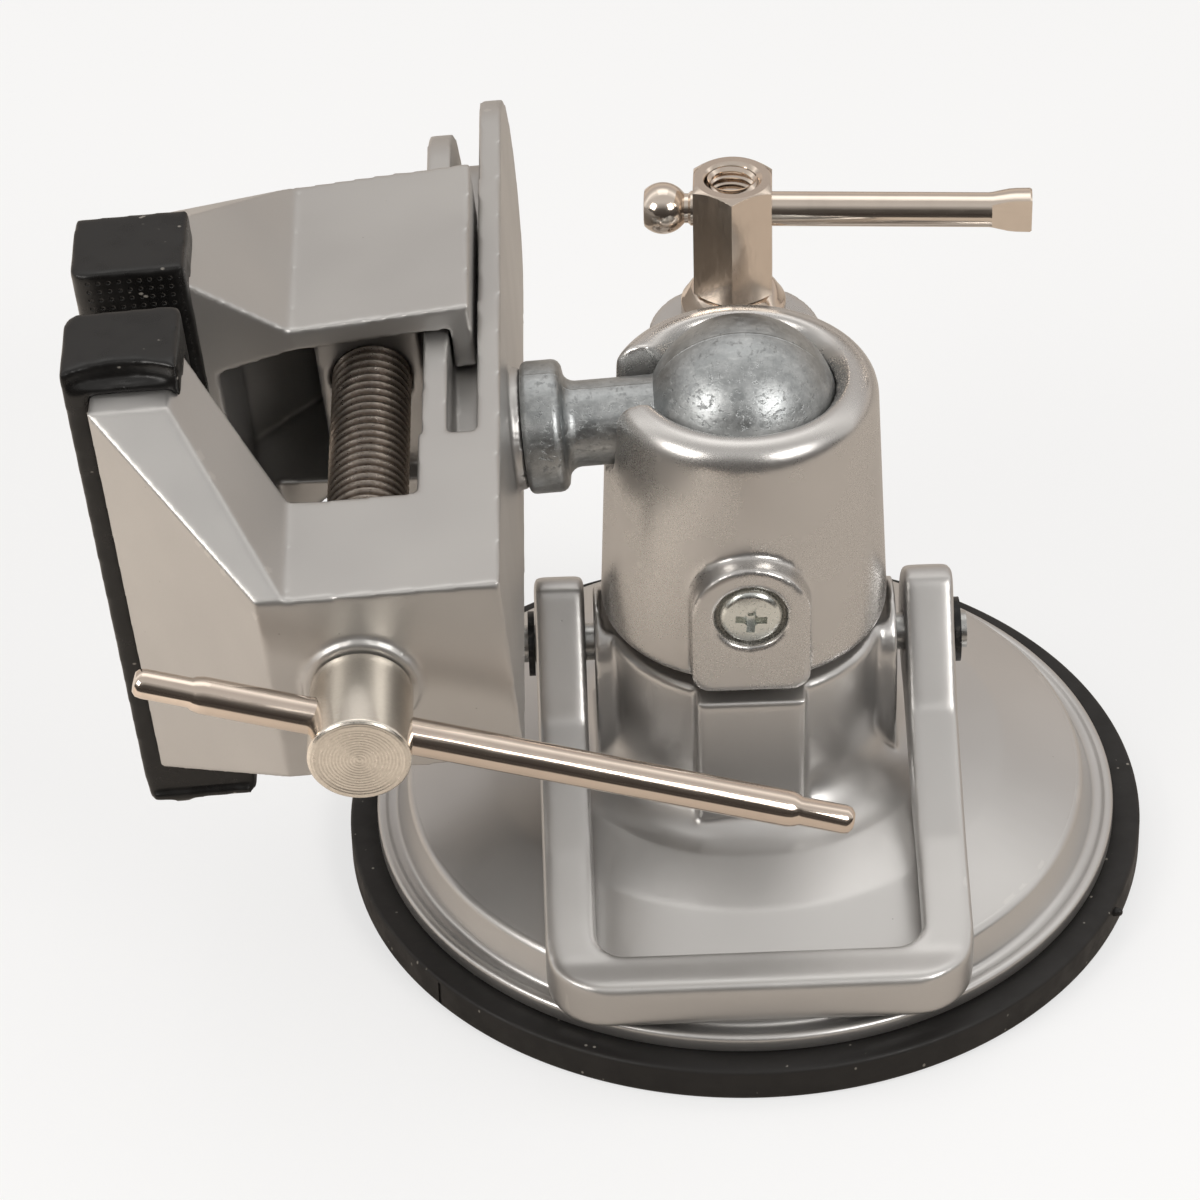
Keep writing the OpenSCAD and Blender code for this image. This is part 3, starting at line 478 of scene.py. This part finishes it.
base_skin = cast_finish("base_skin", (0.60, 0.59, 0.58), (0.55, 0.54, 0.53), 0.33, 0.025)
housing_skin = cast_finish("housing_skin", (0.61, 0.595, 0.58), (0.56, 0.545, 0.53), 0.27, 0.012, grit=0.0)
lever_skin = cast_finish("lever_skin", (0.58, 0.57, 0.56), (0.54, 0.53, 0.52), 0.38, 0.02)
head_skin = cast_finish("head_skin", (0.54, 0.53, 0.515), (0.49, 0.48, 0.47), 0.40, 0.02, HEAD)
ball_skin = zinc_finish("ball_skin", STEM)
nickel_warm = (0.75, 0.66, 0.575)
bar_skin = plated_finish("bar_skin", (0.72, 0.62, 0.535), 0.11, BAR, (1, 1, 0.06))
clamp_skin = plated_finish("clamp_bar_skin", nickel_warm, 0.12, None, (0.08, 1, 1))
nut_skin = plated_finish("nut_skin", (0.70, 0.605, 0.52), 0.12, None, (1, 1, 0.25))
screw_skin = plated_finish("lug_screw_skin", (0.72, 0.74, 0.71), 0.22)
steel_skin = plated_finish("plain_steel_skin", (0.50, 0.50, 0.49), 0.3)
pad_skin = rubber_finish("pad_skin", (0.014, 0.013, 0.0125), 0.5).material
cover_skin = grip_rubber()
thread_skin = thread_steel()
barrel_skin = barrel_nickel()
clip_skin = black_steel()


def skinned(piece, material):
    """Gives a piece its finish."""
    piece.data.materials.clear()
    piece.data.materials.append(material)
    return piece


# Base: the casting up to its rim, and the rim with its groove turned by itself
RIM_INNER_R, RIM_CREST_R, RIM_OUTER_R = 54.25, 55.5, 60.5
RIM_FOOT, RIM_SHELF, GROOVE_FLOOR = 6.02, 9.0, 8.5
shell_r = RIM_INNER_R + 0.05
beyond = RIM_OUTER_R + 9.5
base = casting("base_casting", "base_shell", cell=0.5, passes=9, keep=0.3)
around = [(shell_r, 5), (beyond, 5), (beyond, 20), (shell_r, 20), (shell_r, 5)]
cut(base, turned("rim_cutter", around, steps=128))
smooth(base, CAST_ANGLE)
skinned(base, base_skin)
groove_line = [(56.75, RIM_SHELF + 0.4), (56.95, RIM_SHELF - 0.05), (57.25, GROOVE_FLOOR + 0.12),
               (57.6, GROOVE_FLOOR), (58.4, GROOVE_FLOOR), (58.75, GROOVE_FLOOR + 0.12),
               (59.0, RIM_SHELF - 0.1), (59.25, RIM_SHELF)]
foot_line = [(RIM_OUTER_R, RIM_FOOT + 0.38), (RIM_OUTER_R - 0.3, RIM_FOOT), (RIM_INNER_R, RIM_FOOT)]
crest_line = [(RIM_INNER_R, 11), (RIM_INNER_R, 14.1)] + arc(RIM_CREST_R - 1.8, 12.4, 1.8, 70, 12, 8)
edge_line = arc(RIM_OUTER_R - 0.8, RIM_SHELF - 0.8, 0.8, 90, 0, 6) + foot_line + [(RIM_INNER_R, 11)]
rim = turned("base_rim", crest_line + groove_line + edge_line, steps=256, angle=40)
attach(rim, "base")
skinned(rim, base_skin)

# Housing
skinned(casting("ball_housing", "ball_cup", cell=0.48, passes=12, keep=1.0), housing_skin)


# Lever

def corner_cutter(side):
    """What a round front corner of the bail leaves of a square one."""
    corner_r, half_w, front, top = 10.5, 33.5, -58.5, 50
    across = sorted((side * (half_w - corner_r), side * (half_w + 2)))
    middle = Vector((side * (half_w - corner_r), front + corner_r, 0))
    cutter = block("corner_cutter", (across[0], front - 2, 0), (across[1], front + corner_r, top))
    pin_line = [(0, -1), (corner_r, -1), (corner_r, top + 1), (0, top + 1)]
    return cut(cutter, turned("corner_pin", pin_line, Matrix.Translation(middle * MM), steps=64))


bail = casting("lock_lever", "lever_bail", cell=0.36, passes=70, keep=0.45,
               cutters=[corner_cutter(-1), corner_cutter(1)])
skinned(bail, lever_skin)

# Head: slide, jaws and their rubber covers, the near cover with its longer moulded foot
skinned(casting("slide_frame", "slide_casting", cell=0.45, passes=5, keep=0.4), head_skin)
skinned(casting("moving_jaw", "jaw_casting", cell=0.45, passes=5, keep=0.4), head_skin)
FOOT_LOW, FOOT_BACK, FOOT_FRONT = -45.4, -30.2, -17.5
foot = [block("foot_end", (FOOT_LOW, FOOT_BACK, 80.9), (FOOT_LOW + 4.4, FOOT_FRONT, 97.8), HEAD),
        block("foot_lip", (FOOT_LOW, FOOT_BACK - 1, 81.6), (FOOT_LOW + 1.5, FOOT_BACK + 0.3, 97.2), HEAD),
        block("foot_sprue", (FOOT_LOW - 1, FOOT_BACK - 0.4, 91), (FOOT_LOW + 0.4, FOOT_BACK + 1.8, 94), HEAD)]
near_cover = casting("fixed_jaw_cover", "near_cover", cell=0.32, passes=44, keep=0.4, added=foot)
skinned(near_cover, cover_skin)
far_cover = casting("moving_jaw_cover", "far_cover", cell=0.32, passes=44, keep=0.4)
skinned(far_cover, cover_skin)

# Ball, neck and collar, turned as one piece in the stem's own axes
BALL_R, NECK_R, COLLAR_R, SPIGOT_R = 15, 6.7, 10.35, 5
COLLAR_LOW, COLLAR_HIGH, SPIGOT_END = 27.6, 33.9, 41.7
ball_line = [(0, -BALL_R)] + arc(0, 0, BALL_R, -80, 63, 24)
neck_line = [(NECK_R, BALL_R - 1.1), (NECK_R, COLLAR_LOW - 2.6)]
neck_line += arc(NECK_R + 2, COLLAR_LOW - 2, 2, 180, 90, 5)
collar_line = arc(COLLAR_R - 1.5, COLLAR_LOW + 1.5, 1.5, -90, 0, 4)
collar_line += arc(COLLAR_R - 1, COLLAR_HIGH - 1, 1, 0, 90, 4)
spigot_line = [(SPIGOT_R, COLLAR_HIGH), (SPIGOT_R, SPIGOT_END), (0, SPIGOT_END)]
stem_line = ball_line + neck_line + collar_line + spigot_line
ball_stem = turned("ball_and_stem", stem_line, STEM, steps=128, angle=40)
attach(ball_stem, "ball")
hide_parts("ball_stem")
skinned(ball_stem, ball_skin)

# Spindle: thread, plain shank and barrel, about an axis that points at the barrel
TURN = SCREW @ Matrix.Rotation(math.radians(90), 4, "X")
SPINDLE_END, THREAD_HIGH = -59, 33.2
ROOT_R, CREST_R, SHANK_R, SHANK_NECK_R = 5.55, 6.25, 5.3, 4.6
BARREL_R, BARREL_LOW, BARREL_HIGH = 7.6, 60.2, 75.4
THREAD_LOW = SPINDLE_END + 0.6
spindle_thread = thread("spindle_thread", ROOT_R, CREST_R, SPINDLE_PITCH, THREAD_LOW, THREAD_HIGH, TURN)
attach(spindle_thread, "screw")
skinned(spindle_thread, thread_skin)
shank_line = [(0, SPINDLE_END), (SHANK_NECK_R, SPINDLE_END), (SHANK_R, SPINDLE_END + 0.8),
              (SHANK_R, THREAD_HIGH + 0.2), (SHANK_NECK_R, THREAD_HIGH + 1.2),
              (SHANK_NECK_R, BARREL_LOW + 0.4), (0, BARREL_LOW + 0.4)]
spindle_shank = turned("spindle_shank", shank_line, TURN, steps=64)
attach(spindle_shank, "screw")
skinned(spindle_shank, thread_skin)
barrel_line = [(0, BARREL_LOW), (BARREL_R - 0.6, BARREL_LOW)]
barrel_line += arc(BARREL_R - 0.5, BARREL_LOW + 0.5, 0.5, -90, 0, 3)
barrel_line += arc(BARREL_R - 0.7, BARREL_HIGH - 0.7, 0.7, 0, 90, 4)
barrel_line += [(BARREL_R - 1.4, BARREL_HIGH - 0.02), (BARREL_R - 1.6, BARREL_HIGH - 0.12)]
barrel_line += [(0, BARREL_HIGH - 0.12)]
barrel = turned("spindle_barrel", barrel_line, TURN)
BAR_R, SWAGED_R = 2.75, 2.2
HOLE_R = BAR_R + 0.06
cutter = turned("barrel_cutter", [(0, -12), (HOLE_R, -12), (HOLE_R, 12), (0, 12)], BAR, steps=48)
broken_edges(cut(barrel, cutter), 0.25, 50)
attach(barrel, "screw")
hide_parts("spindle")
skinned(barrel, barrel_skin)

# Spindle bar, swaged down towards both ends
BAR_LOW, BAR_HIGH = -33.4, 74.9
short_end = [(0, BAR_LOW), (1.5, BAR_LOW), (2.05, BAR_LOW + 0.5), (SWAGED_R, BAR_LOW + 1.4),
             (SWAGED_R, BAR_LOW + 8.2), (2.5, BAR_LOW + 8.7), (2.72, BAR_LOW + 9.8),
             (BAR_R, BAR_LOW + 10.8)]
long_end = [(BAR_R, BAR_HIGH - 10.7), (2.72, BAR_HIGH - 9.7), (2.5, BAR_HIGH - 8.7),
            (SWAGED_R, BAR_HIGH - 8.1), (SWAGED_R, BAR_HIGH - 1.3), (2.05, BAR_HIGH - 0.5),
            (1.5, BAR_HIGH), (0, BAR_HIGH)]
spindle_bar = turned("spindle_tommy_bar", short_end + long_end, BAR, steps=48, angle=40)
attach(spindle_bar, "screw_bar")
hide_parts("spindle_bar")
skinned(spindle_bar, bar_skin)

# Stud, washer and nut behind the ball, about the stud's axis
STUD_AXIS = Matrix.Translation(STUD)
STUD_R, STUD_LOW, STUD_HIGH, NUT_HIGH = 4.0, 31.4, 98.9, 108.2
WASHER_R, WASHER_BORE_R, WASHER_LOW, WASHER_HIGH = 8.4, 4.3, 83.25, 88.4
skinned(machined("clamp_nut", "hexagon_nut", 0.16), nut_skin)
washer_edge = arc(WASHER_R - 0.4, WASHER_LOW + 0.4, 0.4, -90, 0, 3)
washer_edge += arc(WASHER_R - 0.7, WASHER_LOW + 2.25, 0.7, 0, 50, 4)
washer_cone = [(WASHER_R - 0.5, WASHER_HIGH - 2.05), (WASHER_R - 1.0, WASHER_HIGH - 1.1),
               (WASHER_R - 1.6, WASHER_HIGH - 0.35), (WASHER_R - 2.0, WASHER_HIGH - 0.05),
               (WASHER_R - 2.4, WASHER_HIGH), (WASHER_BORE_R, WASHER_HIGH), (WASHER_BORE_R, WASHER_LOW)]
washer_line = [(WASHER_BORE_R, WASHER_LOW), (WASHER_R - 0.4, WASHER_LOW)] + washer_edge + washer_cone
washer = turned("coned_washer", washer_line, STUD_AXIS)
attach(washer, "base")
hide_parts("clamp_washer")
skinned(washer, nut_skin)
nut_root_r, nut_crest_r = STUD_R - 0.02, STUD_R - 0.6
nut_thread = thread("nut_thread", nut_root_r, nut_crest_r, NUT_PITCH, STUD_HIGH + 0.5, NUT_HIGH, STUD_AXIS)
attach(nut_thread, "nut")
skinned(nut_thread, nut_skin)
stud_line = [(0, STUD_LOW), (STUD_R - 0.6, STUD_LOW), (STUD_R, STUD_LOW + 0.6), (STUD_R, STUD_HIGH - 1.3),
             (STUD_R - 0.4, STUD_HIGH - 0.5), (STUD_R - 1.4, STUD_HIGH), (0, STUD_HIGH)]
stud = turned("anchor_stud", stud_line, STUD_AXIS, steps=48)
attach(stud, "base")
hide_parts("clamp_stud")
skinned(stud, steel_skin)

# Clamp bar: a ball at one end, pressed flat at the other
CLAMP_R, CLAMP_NECK_R, CLAMP_BALL_R, CLAMP_BALL_PLACE = 2.75, 2.35, 4.1, -11
CLAMP_HEIGHT, FLARE, CLAMP_END = 103 * MM, 40.4, 47.2
BAR_AXIS = frame_from(STUD + Vector((0, 0, CLAMP_HEIGHT)), (0, 0, 1), CLAMP.cross(Vector((0, 0, 1))))
knob_line = [(0, CLAMP_BALL_PLACE - 3), (2.5, CLAMP_BALL_PLACE - 3)]
knob_line += arc(0, CLAMP_BALL_PLACE, CLAMP_BALL_R, -45, 50, 14)
rod_line = [(CLAMP_NECK_R, -7.6), (CLAMP_NECK_R, -7.0), (CLAMP_R, -6.6), (CLAMP_R, FLARE)]
spade_line = [(2.82, FLARE + 0.6), (3.12, FLARE + 2.0), (3.36, FLARE + 3.2), (3.46, FLARE + 4.4),
              (3.5, CLAMP_END - 0.3), (3.3, CLAMP_END), (0, CLAMP_END)]
clamp_bar = turned("clamp_bar_rod", knob_line + rod_line + spade_line, BAR_AXIS, steps=48)
for side in (-1, 1):
    facing = Matrix.Rotation(math.radians(90 - 90 * side), 4, "Z")
    cut(clamp_bar, block("spade_press", (-6, 1.9, FLARE + 0.5), (6, 8, 50), BAR_AXIS @ facing))
broken_edges(clamp_bar, 0.18, 40)
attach(clamp_bar, "nut_bar")
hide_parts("clamp_bar")
skinned(clamp_bar, clamp_skin)

# Screw at the front of the housing, with its cross recess
LUG = frame_from((0, 0, LUG_HEIGHT), (1, 0, 0), (0, 0, 1)) @ Matrix.Rotation(math.radians(-4), 4, "Z")
SHAFT_R, HEAD_R, HEAD_SEAT, HEAD_TOP = 2.45, 5.0, 23.1, 25.62
CROSS_REACH, CROSS_HALF_WIDTH, CROSS_FLOOR = 2.45, 0.65, 23.8
shaft_line = [(0, 10), (SHAFT_R - 0.25, 10), (SHAFT_R, 10.4), (SHAFT_R, HEAD_SEAT), (HEAD_R - 0.1, HEAD_SEAT)]
pan_line = arc(HEAD_R - 1.5, HEAD_SEAT + 0.8, 1.5, 0, 72, 6) + [
    (2.6, HEAD_TOP - 0.12), (1.2, HEAD_TOP - 0.02), (0, HEAD_TOP)]
lug_screw = turned("cross_screw", shaft_line + pan_line, LUG, steps=64)
for degrees in (0, 90):
    low = (-CROSS_REACH, -CROSS_HALF_WIDTH, CROSS_FLOOR)
    high = (CROSS_REACH, CROSS_HALF_WIDTH, 27)
    cut(lug_screw, block("cross_cutter", low, high, LUG @ Matrix.Rotation(math.radians(degrees), 4, "Z")))
cut(lug_screw, turned("tip_cutter", [(0, 23.4), (0.5, 23.4), (1.35, 26), (0, 26)], LUG, steps=16))
broken_edges(lug_screw, 0.1, 40)
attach(lug_screw, "base")
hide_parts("lug_screw")
skinned(lug_screw, screw_skin)

# Small steel pieces
for node in ("plunger", "lever_pin", "lift_cam"):
    skinned(frame["nodes"][node], steel_skin)
skinned(frame["nodes"]["pin_clips"], clip_skin)

# Rubber pad, with the nick and the sprue left by its mould
PAD_R, PAD_BORE_R, PAD_TOP, LIP_R = 65, 15.06, 6.0, 52
under_line = [(PAD_BORE_R, 2.8), (LIP_R - 13, 1.68), (LIP_R, 0.02)]
side_line = arc(PAD_R - 1.1, 1.1, 1.1, -90, 0, 4) + arc(PAD_R - 0.7, PAD_TOP - 0.7, 0.7, 0, 90, 4)
top_line = [(61.2, PAD_TOP), (60.9, PAD_TOP - 0.1), (PAD_BORE_R, PAD_TOP - 0.1), (PAD_BORE_R, 2.8)]
pad = turned("rubber_pad", under_line + side_line + top_line, steps=256, angle=40)
nick_way = Matrix.Rotation(math.radians(219), 4, "Z")
cut(pad, block("sprue_nick", (PAD_R - 0.25, -0.35, 0.8), (PAD_R + 1, 0.35, 5.2), nick_way))
smooth(pad, 40)
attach(pad, "base")
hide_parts("suction_pad")
skinned(pad, pad_skin)
sprue_line = [(0, -2), (0.9, -2), (0.75, 0.5), (0.6, 1.1), (0.35, 1.3), (0, 1.35)]
sprue_way = Matrix.Rotation(math.radians(-26.5), 4, "Z") @ Matrix.Translation((PAD_R * MM, 0, 4.4 * MM))
lean = Matrix.Rotation(math.radians(75), 4, "Y")
sprue = turned("pad_sprue", sprue_line, sprue_way @ lean, steps=12, angle=50)
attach(sprue, "base")
skinned(sprue, pad_skin)
skinned(frame["nodes"]["pad_core"], pad_skin)


# Stage and camera

def view_axes(azimuth, elevation):
    """Right, up and back of a camera that looks along an azimuth and an elevation, in degrees."""
    turn, rise = math.radians(azimuth), math.radians(elevation)
    back = Vector((math.sin(turn) * math.cos(rise), -math.cos(turn) * math.cos(rise), math.sin(rise)))
    right = Vector((math.cos(turn), math.sin(turn), 0))
    return right, back.cross(right), back


PHOTO_AZIMUTH, PHOTO_ELEVATION = -3.2, 38.18
PHOTO_DISTANCE, PHOTO_ASIDE, PHOTO_ABOVE = 840.84 * MM, 7.415 * MM, 37.80 * MM
RIGHT, UP, BACK = view_axes(PHOTO_AZIMUTH, PHOTO_ELEVATION)
PAPER_GLOW = 0.63
BACKDROP_TONE = 0.98


def table_paper():
    """Paper under the vise: white to the camera; in the metal lighter on the left, a painted pool of light, and
    dark past its edge, a painted dark reflection.
    """
    paper = Finish("floor_paper", 0.0)
    straight = paper.nodes.new("ShaderNodeLightPath").outputs["Is Camera Ray"]
    # Painted dark reflection: past this edge the paper turns dark to every ray but the camera's.
    painted_dark_edge = paper.spread(paper.axis("Y"), -245 * MM, -205 * MM)
    # Painted pool of light: the paper is lighter on the left to every ray but the camera's, so the metal mirrors a
    # lit patch there.
    painted_light_pool = paper.spread(paper.axis("X"), -150 * MM, -50 * MM, 1.0, 0.0)
    lit = paper.mixed(painted_light_pool, (0.60, 0.545, 0.49), (0.92, 0.84, 0.76))
    painted_reflection_tone = paper.mixed(painted_dark_edge, (0.06, 0.055, 0.052), lit)
    paper.colour(paper.mixed(straight, painted_reflection_tone, (0.30, 0.30, 0.30)))
    paper.shader.inputs["Roughness"].default_value = 0.9
    paper.shader.inputs["Specular IOR Level"].default_value = 0.0
    paper.shader.inputs["Emission Color"].default_value = (1, 1, 1, 1)
    paper.links.new(paper.sums("MULTIPLY", straight, PAPER_GLOW), paper.shader.inputs["Emission Strength"])
    return paper.material


bpy.ops.mesh.primitive_plane_add(size=6)
floor = named("floor")
floor.data.materials.append(table_paper())

# Room as the metal mirrors it, in degrees over the top from the front to the back
ROOM = [(0, (0.06, 0.052, 0.048)), (28, (0.10, 0.094, 0.088)), (44, (0.38, 0.37, 0.36)),
        (58, (0.66, 0.65, 0.635)), (88, (0.62, 0.60, 0.58)), (104, (0.95, 0.93, 0.90)),
        (116, (1.35, 1.32, 1.28)), (128, (0.74, 0.72, 0.70)), (142, (0.54, 0.51, 0.49)),
        (156, (0.66, 0.60, 0.55)), (168, (0.72, 0.64, 0.57)), (180, (0.55, 0.48, 0.42))]


def studio_room():
    """World: pale to the camera, and to the metal a room seen from the front over the top to the back."""
    world = bpy.data.worlds.new("studio")
    bpy.context.scene.world = world
    world.use_nodes = True
    nodes, links = world.node_tree.nodes, world.node_tree.links
    nodes.clear()
    split = nodes.new("ShaderNodeSeparateXYZ")
    links.new(nodes.new("ShaderNodeTexCoord").outputs["Generated"], split.inputs[0])
    forward, height, share = [nodes.new("ShaderNodeMath") for _ in range(3)]
    forward.operation, height.operation, share.operation = "MULTIPLY", "ARCTAN2", "DIVIDE"
    forward.inputs[1].default_value = -1
    share.inputs[1].default_value = math.pi
    links.new(split.outputs["Y"], forward.inputs[0])
    links.new(split.outputs["Z"], height.inputs[0])
    links.new(forward.outputs[0], height.inputs[1])
    links.new(height.outputs[0], share.inputs[0])
    ramp = nodes.new("ShaderNodeValToRGB")
    links.new(share.outputs[0], ramp.inputs["Fac"])
    for (degrees, colour), element in zip((ROOM[0], ROOM[-1]), ramp.color_ramp.elements):
        element.position, element.color = degrees / 180, (*colour, 1)
    for degrees, colour in ROOM[1:-1]:
        ramp.color_ramp.elements.new(degrees / 180).color = (*colour, 1)
    air, backdrop = [nodes.new("ShaderNodeBackground") for _ in range(2)]
    links.new(ramp.outputs["Color"], air.inputs["Color"])
    backdrop.inputs["Color"].default_value = (BACKDROP_TONE, BACKDROP_TONE, BACKDROP_TONE, 1)
    choice = nodes.new("ShaderNodeMixShader")
    links.new(nodes.new("ShaderNodeLightPath").outputs["Is Camera Ray"], choice.inputs[0])
    links.new(air.outputs[0], choice.inputs[1])
    links.new(backdrop.outputs[0], choice.inputs[2])
    links.new(choice.outputs[0], nodes.new("ShaderNodeOutputWorld").inputs["Surface"])


studio_room()


def softbox(name, toward, distance, size, power, colour):
    """A square soft light that looks at the vise from a direction."""
    lamp = bpy.data.lights.new(name, "AREA")
    lamp.shape, lamp.size, lamp.energy, lamp.color = "SQUARE", size, power, colour
    light = bpy.data.objects.new(name, lamp)
    light.rotation_euler = toward.to_track_quat("Z", "Y").to_euler()
    light.location = toward.normalized() * distance + Vector((0, 0, 0.06))
    bpy.context.scene.collection.objects.link(light)


SOFTBOX_DISTANCE, SOFTBOX_SIZE, SOFTBOX_POWER = 1.2, 0.46, 5.2
to_left, to_right = -0.67 * RIGHT + 0.09 * UP + 0.73 * BACK, 0.56 * RIGHT + 0.09 * UP + 0.82 * BACK
softbox("left_softbox", to_left, SOFTBOX_DISTANCE, SOFTBOX_SIZE, SOFTBOX_POWER, (1.0, 0.97, 0.93))
softbox("right_softbox", to_right, SOFTBOX_DISTANCE, SOFTBOX_SIZE, SOFTBOX_POWER, (1.0, 0.98, 0.95))
softbox("top_softbox", Vector((0, 0.40, 0.92)), 1.5, 0.9, 1.2, (1.0, 0.99, 0.97))

lens = bpy.data.cameras.new("photo_camera")
lens.sensor_width, lens.lens, lens.shift_x = 36, 152.2, -0.1586
lens.clip_start, lens.clip_end = 0.05, 20
camera = bpy.data.objects.new("photo_camera", lens)
camera.rotation_euler = Matrix((RIGHT, UP, BACK)).transposed().to_euler()
camera.location = PHOTO_ASIDE * RIGHT + PHOTO_ABOVE * UP + PHOTO_DISTANCE * BACK
bpy.context.scene.collection.objects.link(camera)
bpy.context.scene.camera = camera
bpy.context.scene.view_settings.view_transform = "Standard"
